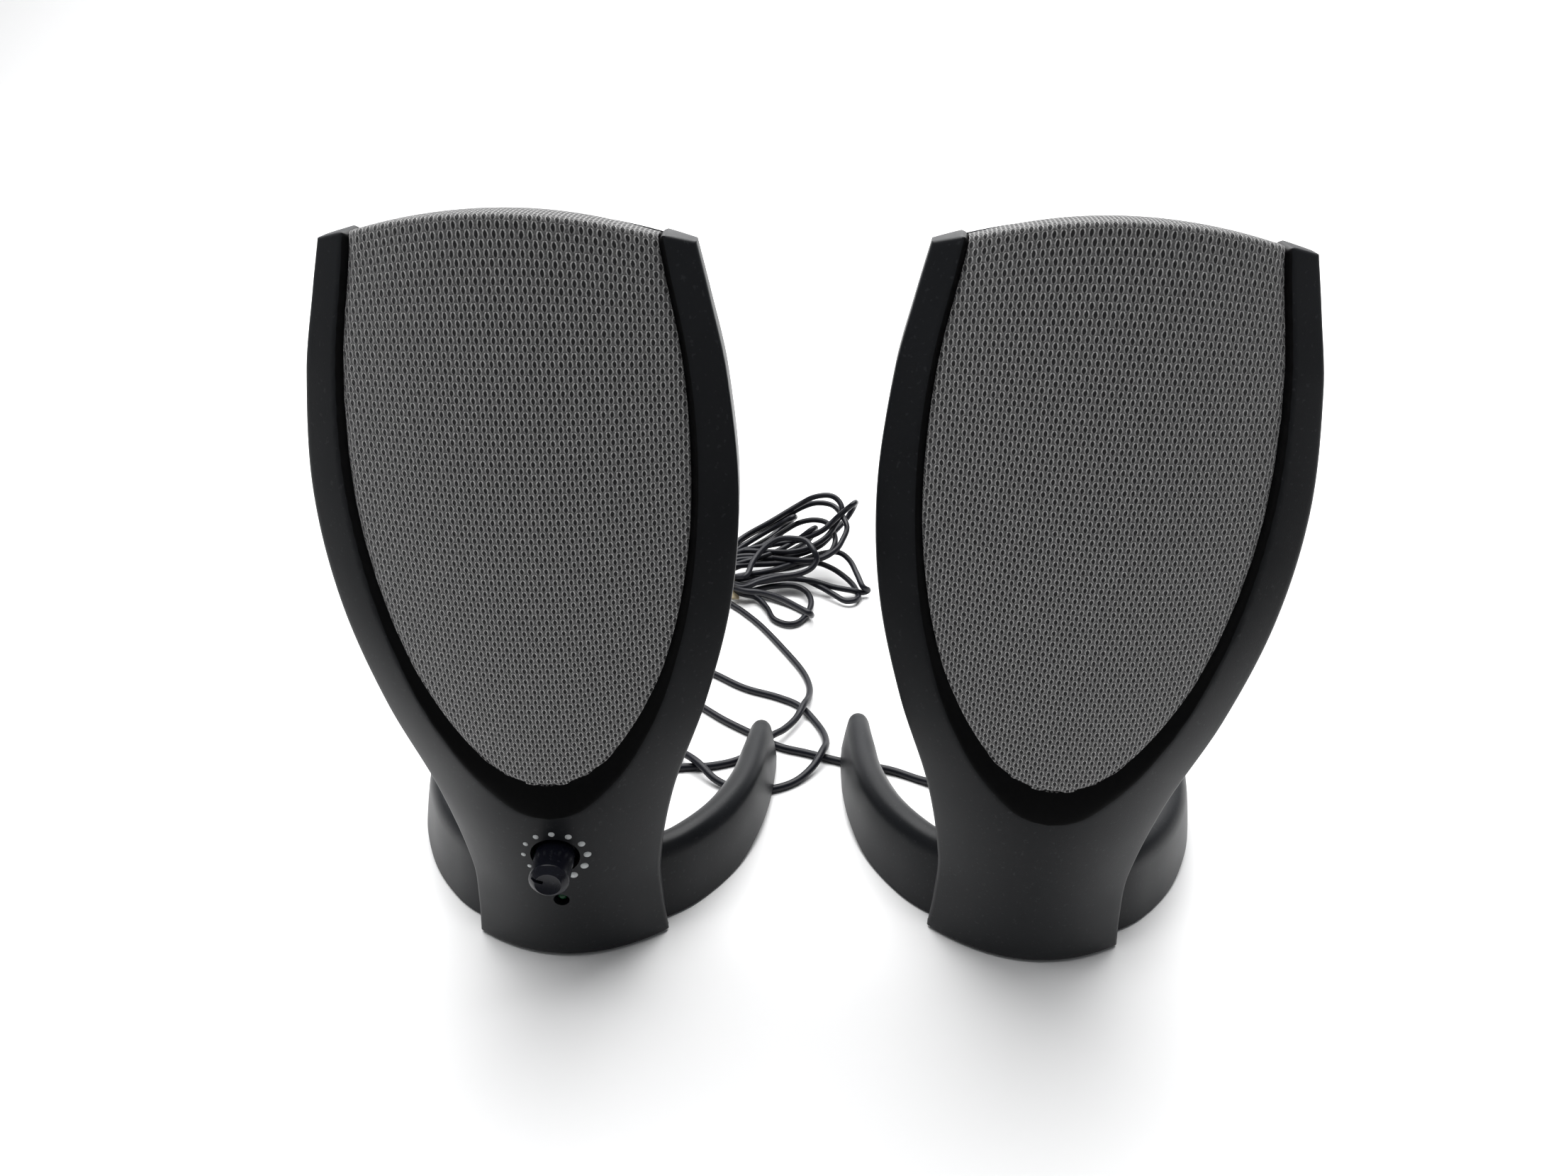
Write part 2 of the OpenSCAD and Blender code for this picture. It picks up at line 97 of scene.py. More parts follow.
# Right half of the cloth's outline and of the recess round it: x, z
CLOTH_LINE = [(0, 71.2), (6.5, 72.3), (12, 74.9), (18.5, 80.9), (24, 88.3), (28.6, 96.5),
              (33.4, 107.4), (38.2, 125), (41.3, 146), (41.8, 167), (40.2, 188), (36, 209),
              (33.4, 224), (32, 232)]
RECESS_LINE = [(0, 60.2), (5.5, 61.1), (11, 63.8), (19.7, 72.4), (25.6, 81), (31.8, 93.5),
               (36.4, 107), (40.8, 125), (43.4, 146), (43.9, 167), (42, 188), (37.8, 209),
               (35.2, 224), (34, 232)]

# Foot stations: x, y, width factor, crest height, underside
FOOT_PATH = np.array(
    [
        (0, 7, 1, 27, 0.8),
        (14, 9, 1, 27, 0.8),
        (28, 15.5, 1, 26.6, 0.8),
        (37, 24, 1, 26, 0.8),
        (45, 35.5, 1, 25, 1.2),
        (51, 48.5, 0.97, 24, 3.4),
        (54.8, 61, 0.9, 23, 3.8),
        (57, 73, 0.85, 22.2, 3.8),
        (58.5, 82, 0.79, 21.4, 3.8),
        (59.4, 89, 0.73, 20.4, 3.8),
    ],
    float,
)
# Foot section: outward offset, share of the crest height
FOOT_SECTION = [(9, 0), (8.75, 0.08), (8.1, 0.26), (7.1, 0.52), (6.1, 0.74), (5.55, 0.83),
                (4.7, 0.9), (3.2, 0.965), (1.2, 0.997), (-0.8, 0.997), (-2.8, 0.96),
                (-4.6, 0.87), (-5.8, 0.74), (-6.3, 0.58), (-6.4, 0.3), (-6.2, 0)]

LINK_ROUTE = [(67, 46.3, 44), (67.5, 53, 44), (67.5, 61, 36), (64.5, 69, 18),
              (57, 76, 5), (45, 82.5, 1.6), (31.5, 88.6, 1.6), (14, 92.3, 1.6),
              (-1, 97.3, 1.6), (-13, 101.2, 1.6), (-26, 110.4, 1.6), (-37, 118.5, 1.6),
              (-47, 127.4, 1.6), (-58, 137, 1.6), (-69, 146, 1.6), (-76, 156, 1.6),
              (-73, 165, 1.6), (-63, 166, 1.6), (-53, 160, 1.6), (-44, 154, 1.6),
              (-30.5, 144, 1.6), (-15, 137.5, 1.6), (-4.8, 130.4, 1.6), (3.8, 115.5, 1.6),
              (6.5, 103, 3.4), (5.2, 94.5, 4.9), (1.5, 86, 3), (-5, 78, 1.6),
              (-13.8, 72.8, 1.6), (-25, 71.6, 1.6), (-35, 75.5, 2.6), (-43, 83, 4.9),
              (-50, 90, 4.2), (-58, 96.5, 2.4), (-67, 97, 7), (-72, 89, 21),
              (-71.5, 78, 38), (-70.6, 68, 47.5), (-70, 60, 50), (-69.6, 53.9, 50)]
AUDIO_ROUTE = [(-82.4, 35.5, 36.5), (-82.9, 42, 36.5), (-82.5, 50, 31),
               (-80, 58, 18), (-75, 67, 6), (-66, 76.5, 1.6), (-58, 81.5, 1.6),
               (-49, 84.2, 1.6), (-38.7, 85.8, 1.6), (-28.6, 90.3, 1.6), (-21, 97.5, 2.4),
               (-16, 103, 4.9), (-11, 109.5, 4.2), (-6.5, 118.5, 3.8), (-3.5, 128, 4.9),
               (-1.8, 137, 3), (-2, 148, 1.6), (-5.5, 160, 1.6), (-14, 177, 1.6),
               (-27, 200, 1.6), (-37, 214, 1.6), (-44, 222, 1.6), (-49, 228, 1.6)]

# The tie's middle, the way the tied bundle runs, and the loops to its right
TIE = np.array((-62.0, 242.0, 8.6))
TIE_WAY = np.array((0.955, 0.297, 0.0))
TIE_SIDE = np.array((-0.297, 0.955, 0.0))
HANK_LOOPS = [
    [(-40, 228, 5), (-32, 228, 3), (-26, 219, 2), (-22, 208, 2), (-15, 203, 2), (-9, 206, 2),
     (-5, 217, 2), (-4, 226, 3), (-7, 235, 4), (-14, 239, 5), (-25, 237, 5), (-40, 228, 6)],
    [(-40, 229, 5), (-30, 232, 3), (-19, 227, 2), (-10, 220, 2), (-4, 212, 3), (-3, 200, 9),
     (-4, 193, 14), (-10, 199, 14), (-19, 211, 12), (-29, 220, 10), (-40, 224, 9)],
    [(-41, 232, 8), (-25, 241, 9), (-11, 244, 7), (-1, 240, 5), (7, 233, 4), (13, 228, 3),
     (18, 229, 3), (20, 235, 2), (18, 244, 3), (13, 251, 5), (5, 258, 7), (-4, 261, 8),
     (-15, 252, 9), (-28, 246, 9), (-41, 237, 8)],
    [(-41, 238, 10), (-25, 244, 11), (-12, 253, 12), (0, 260, 14), (9, 260, 15), (15, 255, 13),
     (19, 245, 10), (22, 237, 7), (25, 239, 4), (22, 238, 3), (16, 238, 4), (7, 239, 5),
     (-4, 241, 7), (-17, 241, 8), (-30, 234, 9), (-40, 230, 9)],
    [(-41, 232, 12), (-37, 232, 14), (-35, 243, 16), (-30, 251, 20), (-23, 254, 24),
     (-15, 252, 26), (-8, 249, 26), (-4, 243, 24), (-2, 240, 20), (-5, 237, 16), (-12, 236, 13),
     (-22, 236, 11), (-31, 232, 10), (-41, 227, 9)],
    [(-42, 249, 12), (-26, 256, 15), (-14, 264, 19), (-5, 265, 26), (-4, 277, 20), (-8, 278, 13),
     (-18, 267, 11), (-32, 258, 10), (-42, 250, 10)],
    [(-43, 258, 12), (-31, 266, 15), (-21, 276, 19), (-13, 279, 23), (-5, 279, 25), (2, 276, 25),
     (6, 268, 23), (7, 259, 21), (4, 254, 17), (-4, 252, 14), (-15, 252, 12), (-28, 251, 11),
     (-42, 248, 11)],
    [(-44, 263, 14), (-32, 272, 19), (-23, 274, 24), (-16, 270, 30), (-16, 285, 23),
     (-23, 287, 16), (-31, 277, 13), (-43, 261, 12)],
    [(-43, 259, 14), (-27, 262, 17), (-12, 263, 20), (0, 263, 26), (8, 266, 33), (16, 263, 42),
     (17, 281, 34), (13, 281, 26), (6, 272, 21), (-1, 263, 17), (-13, 257, 14), (-26, 254, 13),
     (-43, 253, 12)],
    [(-44, 268, 16), (-33, 277, 20), (-22, 280, 25), (-11, 285, 30), (-3, 284, 33), (5, 281, 33),
     (10, 273, 31), (13, 264, 28), (11, 257, 24), (7, 251, 20), (-2, 248, 16), (-15, 251, 14),
     (-32, 256, 13), (-43, 255, 13)],
    [(-44, 268, 17), (-28, 275, 25), (-13, 281, 33), (-5, 280, 38), (3, 278, 40), (8, 276, 38),
     (10, 272, 34), (7, 268, 28), (2, 261, 23), (-7, 256, 19), (-17, 254, 17), (-32, 258, 15),
     (-43, 259, 14)],
]
PLUG_END = (-116, 262, 5)


# --- Frames and curves -------------------------------------------------------


def to_row(points):
    """Points of the pair's frame, in mm, as row points in metres."""
    return (np.asarray(points, float) - (0, MIDDLE_Y, 0)) * MM


def place(side, points):
    """Points of one speaker's own frame, in mm, as row points in metres."""
    s = SIDES[side]
    points = np.asarray(points, float)
    turn = -s * TOE_IN
    x = points[..., 0] * math.cos(turn) - points[..., 1] * math.sin(turn)
    y = points[..., 0] * math.sin(turn) + points[..., 1] * math.cos(turn)
    moved = np.stack([x + s * HALF_SPACING, y + s * STAGGER, points[..., 2]], -1)
    return to_row(moved)


def from_row(side, points):
    """Row points in metres as points of one speaker's own frame, in mm."""
    s = SIDES[side]
    points = np.asarray(points, float) / MM + (0, MIDDLE_Y, 0) - (s * HALF_SPACING, s * STAGGER, 0)
    turn = s * TOE_IN
    x = points[..., 0] * math.cos(turn) - points[..., 1] * math.sin(turn)
    y = points[..., 0] * math.sin(turn) + points[..., 1] * math.cos(turn)
    return np.stack([x, y, points[..., 2]], -1)


def along_rows(rows, at):
    """Smooth values at the places at, through rows whose first column is the place."""
    k = rows[:, 0]
    slopes = np.empty_like(rows)
    for i in range(len(k)):
        a, b = max(i - 1, 0), min(i + 1, len(k) - 1)
        slopes[i] = (rows[b] - rows[a]) / (k[b] - k[a])
    at = np.asarray(at, float)
    i = np.clip(np.searchsorted(k, at, side="right") - 1, 0, len(k) - 2)
    d = k[i + 1] - k[i]
    t = ((at - k[i]) / d)[..., None]
    d = d[..., None]
    return (
        (2 * t**3 - 3 * t**2 + 1) * rows[i]
        + (t**3 - 2 * t**2 + t) * d * slopes[i]
        + (3 * t**2 - 2 * t**3) * rows[i + 1]
        + (t**3 - t**2) * d * slopes[i + 1]
    )


def station(z, column):
    return along_rows(STATIONS, np.asarray(z, float))[..., column]


def half_width(z):
    return station(z, 1)


def face_y(x, z):
    """Depth of the curved face at a point of the front view."""
    return station(z, 2) - station(z, 3) * (1 - (x / half_width(z)) ** 2)


def lift(x, z):
    """How far the crowned top raises a point of the cabinet."""
    return CROWN * (z / CORNER_H) ** 6 * (1 - np.clip(np.abs(x) / half_width(z), 0, 1) ** 2)


def spline(points, steps):
    """A dense smooth line through points, with steps pieces between two of them."""
    p = np.asarray(points, float)
    p = np.vstack([2 * p[0] - p[1], p, 2 * p[-1] - p[-2]])
    out = []
    for i in range(1, len(p) - 2):
        for t in np.arange(steps) / steps:
            a, b, c, d = p[i - 1], p[i], p[i + 1], p[i + 2]
            out.append(
                0.5 * (2 * b + (c - a) * t + (2 * a - 5 * b + 4 * c - d) * t**2
                       + (3 * b - a - 3 * c + d) * t**3)
            )
    out.append(p[-2])
    return np.array(out)


CLOTH_EDGE = spline(CLOTH_LINE, 24)
RECESS_EDGE = spline(RECESS_LINE, 24)


def half_at(edge, z):
    """Half width of an outline at height z, and 0 below it."""
    return np.interp(z, edge[:, 1], edge[:, 0], left=0.0)


def gap_to(edge, x, z):
    """Distance in the front view from each point to an outline."""
    flat = np.stack([np.abs(x).ravel(), z.ravel()], 1)
    gaps = [np.sqrt(((edge - p) ** 2).sum(1)).min() for p in flat]
    return np.array(gaps).reshape(x.shape)


# --- Meshes --------------------------------------------------------------------


def mesh_object(name, points, faces, smooth_angle=38.0):
    """A mesh object in metres, welded, with edges sharper than smooth_angle kept crisp."""
    mesh = bpy.data.meshes.new(name)
    mesh.from_pydata([tuple(p) for p in points], [], [tuple(f) for f in faces])
    obj = bpy.data.objects.new(name, mesh)
    bpy.context.scene.collection.objects.link(obj)
    weld(obj, smooth_angle)
    return obj


def weld(obj, smooth_angle=38.0):
    bm = bmesh.new()
    bm.from_mesh(obj.data)
    bmesh.ops.remove_doubles(bm, verts=bm.verts, dist=2e-6)
    bmesh.ops.dissolve_degenerate(bm, edges=bm.edges, dist=1e-6)
    bmesh.ops.recalc_face_normals(bm, faces=bm.faces)
    for face in bm.faces:
        face.smooth = True
    for edge in bm.edges:
        if len(edge.link_faces) == 2:
            edge.smooth = edge.calc_face_angle(0.0) < math.radians(smooth_angle)
    bm.to_mesh(obj.data)
    bm.free()


def grid_faces(rows, cols, start=0, wrap=False):
    faces = []
    for r in range(rows - 1):
        for c in range(cols if wrap else cols - 1):
            a, b = r * cols + c, r * cols + (c + 1) % cols
            faces.append((start + a, start + b, start + b + cols, start + a + cols))
    return faces


def bake_modifiers(obj):
    """Applies the modifiers of an object and returns it."""
    evaluated = obj.evaluated_get(bpy.context.evaluated_depsgraph_get())
    mesh = bpy.data.meshes.new_from_object(evaluated)
    obj.modifiers.clear()
    obj.data = mesh
    return obj


def thicken(obj, thickness, offset=-1.0):
    """Gives a skin a thickness in mm, inwards."""
    mod = obj.modifiers.new("skin", "SOLIDIFY")
    mod.thickness = thickness * MM
    mod.offset = offset
    return bake_modifiers(obj)


def cut(obj, cutters):
    """Cuts solids out of an object and removes them."""
    for cutter in cutters:
        mod = obj.modifiers.new("cut", "BOOLEAN")
        mod.operation = "DIFFERENCE"
        mod.solver = "EXACT"
        mod.object = cutter
        bake_modifiers(obj)
        bpy.data.objects.remove(cutter)
    weld(obj)
    return obj


def lathe(side, name, profile, centre, turns=64, smooth_angle=32.0):
    """A solid of revolution about +y. The profile is radius and depth, in mm."""
    profile = np.asarray(profile, float)
    angles = np.linspace(0, 2 * math.pi, turns, endpoint=False)
    points = [
        (centre[0] + r * math.cos(a), centre[1] + d, centre[2] + r * math.sin(a))
        for r, d in profile
        for a in angles
    ]
    faces = grid_faces(len(profile), turns, wrap=True)
    return mesh_object(name, place(side, points), faces, smooth_angle)


def box_solid(side, name, low, high):
    xs, ys, zs = zip(low, high)
    corners = [(x, y, z) for x in xs for y in ys for z in zs]
    return mesh_object(name, place(side, corners), BOX_FACES)


def rod_solid(side, name, x, y, z, length, d, turns=64):
    return lathe(side, name, [(0, 0), (d / 2, 0), (d / 2, length), (0, length)], (x, y, z), turns)


# --- Materials -------------------------------------------------------------------


class Paint:
    """A small helper that builds a node material."""

    def __init__(self, name, color, roughness=0.5, metallic=0.0):
        self.material = bpy.data.materials.new(name)
        self.material.use_nodes = True
        self.tree = self.material.node_tree
        self.shader = self.tree.nodes["Principled BSDF"]
        self.set("Base Color", (*color, 1.0))
        self.set("Roughness", roughness)
        self.set("Metallic", metallic)

    def set(self, socket, value):
        self.shader.inputs[socket].default_value = value

    def node(self, kind, **inputs):
        new = self.tree.nodes.new(kind)
        for key, value in inputs.items():
            self.feed(new.inputs[key.replace("_", " ")], value)
        return new

    def feed(self, socket, value):
        if isinstance(value, bpy.types.NodeSocket):
            self.tree.links.new(value, socket)
        else:
            socket.default_value = value

    def math(self, operation, a, b=0.0):
        new = self.tree.nodes.new("ShaderNodeMath")
        new.operation = operation
        self.feed(new.inputs[0], a)
        self.feed(new.inputs[1], b)
        return new.outputs[0]

    def noise(self, scale, detail=3.0):
        coords = self.tree.nodes.new("ShaderNodeTexCoord").outputs["Object"]
        return self.node("ShaderNodeTexNoise", Vector=coords, Scale=scale, Detail=detail).outputs["Fac"]

    def ramp(self, value, low, high):
        """Maps the middle of a noise's spread, 0.3 to 0.7, onto low..high."""
        new = self.tree.nodes.new("ShaderNodeMapRange")
        self.feed(new.inputs["Value"], value)
        new.inputs["From Min"].default_value = 0.3
        new.inputs["From Max"].default_value = 0.7
        new.inputs["To Min"].default_value = low
        new.inputs["To Max"].default_value = high
        return new.outputs["Result"]

    def mix(self, fac, a, b):
        new = self.tree.nodes.new("ShaderNodeMix")
        new.data_type = "RGBA"
        self.feed(new.inputs["Factor"], fac)
        for socket, value in ((new.inputs["A"], a), (new.inputs["B"], b)):
            self.feed(socket, value if isinstance(value, bpy.types.NodeSocket) else (*value, 1.0))
        return new.outputs["Result"]

    def bump(self, height, strength, distance):
        new = self.node("ShaderNodeBump", Height=height)
        new.inputs["Strength"].default_value = strength
        new.inputs["Distance"].default_value = distance
        self.feed(self.shader.inputs["Normal"], new.outputs["Normal"])


def moulded(name, color, roughness, grain, specks=True, shine=0.25, recess=False):
    """Fine-textured moulded plastic with faint rubbed patches and dust. With recess set, it adds painted
    shade: faces marked as lying in the recess round the cloth turn near-black.
    """
    paint = Paint(name, color, roughness)
    paint.set("Specular IOR Level", shine)
    rubbed = paint.noise(18.0, 4.0)
    paint.feed(paint.shader.inputs["Roughness"], paint.ramp(rubbed, roughness - 0.05, roughness + 0.07))
    light = tuple(min(1.0, c * 1.35 + 0.002) for c in color)
    tone = paint.mix(paint.ramp(rubbed, 0.0, 1.0), color, light)
    if specks:
        dust = paint.ramp(paint.noise(900.0, 2.0), -6.0, 1.0)
        tone = paint.mix(paint.math("MULTIPLY", paint.math("MAXIMUM", dust, 0.0), 0.22),
                         tone, tuple(c * 2.5 + 0.03 for c in color))
    # Painted shade: faces with the recess attribute turn near-black, standing in for the shadow in the bevel
    # round the cloth.
    if recess:
        recess_shade = paint.tree.nodes.new("ShaderNodeAttribute")
        recess_shade.attribute_name = "recess"
        tone = paint.mix(recess_shade.outputs["Fac"], tone, (0.0015, 0.0015, 0.0019))
    paint.feed(paint.shader.inputs["Base Color"], tone)
    paint.bump(paint.noise(3200.0, 2.0), grain, 0.00006)
    return paint.material


def knitted():
    """Grey warp-knit mesh: staggered almond holes between looped yarns. The yarn round each hole has a
    painted highlight that is stronger on the upper side of each cell. UVs are in mm.
    """
    paint = Paint("grille_knit", (0.2, 0.2, 0.205), 0.85)
    uv = paint.node("ShaderNodeUVMap")
    uv.uv_map = "UVMap"
    split = paint.node("ShaderNodeSeparateXYZ", Vector=uv.outputs["UV"])
    u, v = split.outputs["X"], split.outputs["Y"]
    pitch_u, pitch_v = 2.0, 1.575
    row = paint.math("FLOOR", paint.math("DIVIDE", v, pitch_v))
    odd = paint.math("MODULO", paint.math("ABSOLUTE", row), 2.0)
    column = paint.math("ADD", paint.math("DIVIDE", u, pitch_u), paint.math("MULTIPLY", odd, 0.5))
    wobble = paint.math("MULTIPLY", paint.math("SUBTRACT", paint.noise(420.0, 2.0), 0.5), 0.2)
    cu = paint.math("SUBTRACT", paint.math("FRACT", paint.math("ADD", column, wobble)), 0.5)
    cv = paint.math("SUBTRACT", paint.math("FRACT", paint.math("DIVIDE", v, pitch_v)), 0.5)
    across = paint.math("POWER", paint.math("MULTIPLY", paint.math("ABSOLUTE", cu), 4.1), 1.4)
    down = paint.math("POWER", paint.math("MULTIPLY", paint.math("ABSOLUTE", cv), 1.85), 1.7)
    radius = paint.math("ADD", across, down)
    hole = paint.node("ShaderNodeMapRange", Value=radius)
    hole.interpolation_type = "SMOOTHSTEP"
    hole.inputs["From Min"].default_value = 0.62
    hole.inputs["From Max"].default_value = 1.1
    open_yarn = hole.outputs["Result"]
    # Where the painted highlight falls: 1 on and near each hole, fading out between the holes.
    rim = paint.node("ShaderNodeMapRange", Value=radius)
    rim.interpolation_type = "SMOOTHSTEP"
    rim.inputs["From Min"].default_value = 2.1
    rim.inputs["From Max"].default_value = 1.2
    fibres = paint.noise(2600.0, 4.0)
    slant = paint.math("ADD", u, paint.math("MULTIPLY", v, 0.7))
    strands = paint.math("SINE", paint.math("MULTIPLY", slant, 9.0))
    yarn_light = paint.ramp(fibres, 0.15, 1.0)
    yarn_tone = paint.mix(yarn_light, (0.025, 0.0247, 0.0247), (0.115, 0.1135, 0.113))
    # Painted highlight: lighter tones for the yarn round the holes, weighted towards the top of each cell as
    # if lit from above.
    highlight_tone = paint.mix(yarn_light, (0.26, 0.257, 0.255), (0.6, 0.593, 0.588))
    highlight_from_above = paint.math("ADD", paint.math("MULTIPLY", cv, 0.8), 0.7)
    yarn_tone = paint.mix(paint.math("MULTIPLY", rim.outputs["Result"], highlight_from_above), yarn_tone, highlight_tone)
    tone = paint.mix(open_yarn, (0.003, 0.003, 0.004), yarn_tone)
    paint.feed(paint.shader.inputs["Base Color"], tone)
    height = paint.math("ADD", open_yarn, paint.math("MULTIPLY", fibres, 0.35))
    height = paint.math("ADD", height, paint.math("MULTIPLY", strands, 0.08))
    paint.bump(height, 0.9, 0.0005)
    paint.set("Sheen Weight", 0.25)
    return paint.material


MATERIALS = {
    # The shell's material carries painted shade in the recess round the cloth.
    "shell_plastic": moulded("charcoal_shell", (0.0066, 0.0073, 0.0088), 0.4, 0.35, shine=0.2, recess=True),
    "inner_plastic": moulded("black_inner", (0.012, 0.012, 0.013), 0.5, 0.2, specks=False),
    "grille_cloth": knitted(),
    "pad_rubber": moulded("pad_rubber", (0.015, 0.015, 0.015), 0.75, 0.4, specks=False),
    "cone_paper": moulded("cone_paper", (0.02, 0.02, 0.022), 0.8, 0.5, specks=False),
    "spider_cloth": moulded("spider_cloth", (0.35, 0.22, 0.06), 0.85, 0.5, specks=False),
    "gloss_black": moulded("gloss_black", (0.0035, 0.004, 0.0075), 0.22, 0.05, shine=0.3),
    "grey_print": moulded("dial_print", (0.36, 0.375, 0.375), 0.55, 0.1, specks=False),
    "green_lens": moulded("lamp_lens", (0.004, 0.035, 0.012), 0.25, 0.05, specks=False),
    "board": moulded("board_green", (0.02, 0.12, 0.05), 0.45, 0.1, specks=False),
    "cord_vinyl": moulded("cord_vinyl", (0.003, 0.0034, 0.0065), 0.38, 0.1, specks=False),
    "tie_paper": moulded("tie_paper", (0.55, 0.46, 0.3), 0.7, 0.2, specks=False),
}


def metal(name, color, roughness):
    """Dull bare or blackened metal with a faintly uneven polish."""
    paint = Paint(name, color, roughness, 1.0)
    uneven = paint.ramp(paint.noise(260.0), roughness - 0.08, roughness + 0.1)
    paint.feed(paint.shader.inputs["Roughness"], uneven)
    paint.bump(paint.noise(900.0), 0.1, 0.00005)
    return paint.material


MATERIALS["steel"] = metal("zinc_steel", (0.6, 0.6, 0.62), 0.35)
MATERIALS["magnet"] = metal("blackened_steel", (0.08, 0.08, 0.085), 0.5)
MATERIALS["aluminium"] = metal("aluminium", (0.75, 0.75, 0.77), 0.4)


def paint_frame():
    """Every CAD node that stays gets the material of its slot."""
    for part in frame["record"]["subparts"]:
        node = frame["nodes"].get(part["node"])
        if node is None:
            continue
        material = MATERIALS[part["material_slot"]]
        if not node.material_slots:
            node.data.materials.append(material)
        for slot in node.material_slots:
            slot.material = material


def finish_piece(obj, slot, body="cabinets", replaces=()):
    """Gives a piece its material, hangs it under the empty of its body, and hides the CAD parts it stands
    for.
    """
    obj.data.materials.clear()
    obj.data.materials.append(MATERIALS[slot])
    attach(obj, body)
    if replaces:
        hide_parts(*replaces)
    return obj


# --- Camera, floor and light --------------------------------------------------------


def make_camera():
    """A 25 mm-equivalent view from above the table, in front of the pair."""
    turn, pitch, roll = math.radians(3.0), 0.47075, 0.01343
    forward = Vector((-math.sin(turn) * math.cos(pitch), math.cos(turn) * math.cos(pitch), -math.sin(pitch)))
    level = forward.cross(Vector((0, 0, 1))).normalized()
    upright = level.cross(forward)
    right = level * math.cos(roll) + upright * math.sin(roll)
    up = upright * math.cos(roll) - level * math.sin(roll)
    camera = bpy.data.objects.new("camera", bpy.data.cameras.new("camera"))
    camera.data.sensor_width = 36.0
    camera.data.lens = 24.87
    camera.data.clip_start = 0.01
    place_at = Vector(to_row((7.67, -260.96, 258.18)))
    camera.matrix_world = Matrix.Translation(place_at) @ Matrix((right, up, -forward)).transposed().to_4x4()
    bpy.context.scene.collection.objects.link(camera)
    bpy.context.scene.camera = camera


def make_floor():
    """A pale table top that sweeps up into a backdrop, and a dark card seen only in reflections."""
    line = [(-3.0, 0.0), (1.6, 0.0)]
    line += [(1.6 + 1.2 * math.sin(a), 1.2 - 1.2 * math.cos(a)) for a in np.linspace(0, math.pi / 2, 25)[1:]]
    line += [(2.8, 3.2)]
    points = [(x, y, z) for y, z in line for x in (-4.0, 4.0)]
    floor = mesh_object("floor", points, grid_faces(len(line), 2))
    paint = Paint("floor_white", (0.88, 0.88, 0.88), 0.8)
    paint.set("Specular IOR Level", 0.0)
    paint.feed(paint.shader.inputs["Roughness"], paint.ramp(paint.noise(6.0), 0.75, 0.85))
    floor.data.materials.append(paint.material)
    corners = [(-0.9, -1.7, 0.002), (0.9, -1.7, 0.002), (0.9, -0.11, 0.002), (-0.9, -0.11, 0.002)]
    card = mesh_object("dark_card", corners, [(0, 1, 2, 3)])
    paint = Paint("card_black", (0.01, 0.01, 0.01), 0.9)
    paint.feed(paint.shader.inputs["Roughness"], paint.ramp(paint.noise(6.0), 0.85, 0.95))
    card.data.materials.append(paint.material)
    card.visible_camera = False
    card.visible_shadow = False
    card.visible_diffuse = False


def area_light(name, position, target, size, power):
    light = bpy.data.lights.new(name, "AREA")
    light.shape = "RECTANGLE"
    light.size, light.size_y = size
    light.energy = power
    obj = bpy.data.objects.new(name, light)
    obj.location = position
    obj.rotation_euler = (Vector(target) - Vector(position)).to_track_quat("-Z", "Y").to_euler()
    bpy.context.scene.collection.objects.link(obj)


def make_light():
    world = bpy.data.worlds.new("studio")
    world.use_nodes = True
    world.node_tree.nodes["Background"].inputs["Color"].default_value = (0.95, 0.97, 1.0, 1)
    world.node_tree.nodes["Background"].inputs["Strength"].default_value = 0.2
    bpy.context.scene.world = world
    bpy.context.scene.view_settings.view_transform = "Standard"
    area_light("top_soft", (-0.15, 0.55, 1.5), (0, 0.25, 0), (2.2, 1.8), 58.0)
    area_light("backdrop", (0, 1.2, 2.4), (0, 2.6, 0.6), (3.0, 0.8), 75.0)


# --- Shells ----------------------------------------------------------------------------

LIP = [(0.9, 0.0), (0.55, 0.06), (0.25, 0.24), (0.07, 0.52), (0.0, 0.9)]
BEVEL_DEPTH = 3.0


def bezel_rows():
    tip = RECESS_LINE[0][1] + 0.03 * np.arange(0, 13) ** 2
    inner = CLOTH_LINE[0][1] + 0.03 * np.arange(0, 13) ** 2
    return np.unique(np.round(np.concatenate([
        np.linspace(FLOOR_Z + 0.9, 59.8, 27), tip, np.linspace(65, 71, 8), inner,
        np.linspace(76, CORNER_H - 0.9, 92),
    ]), 3))


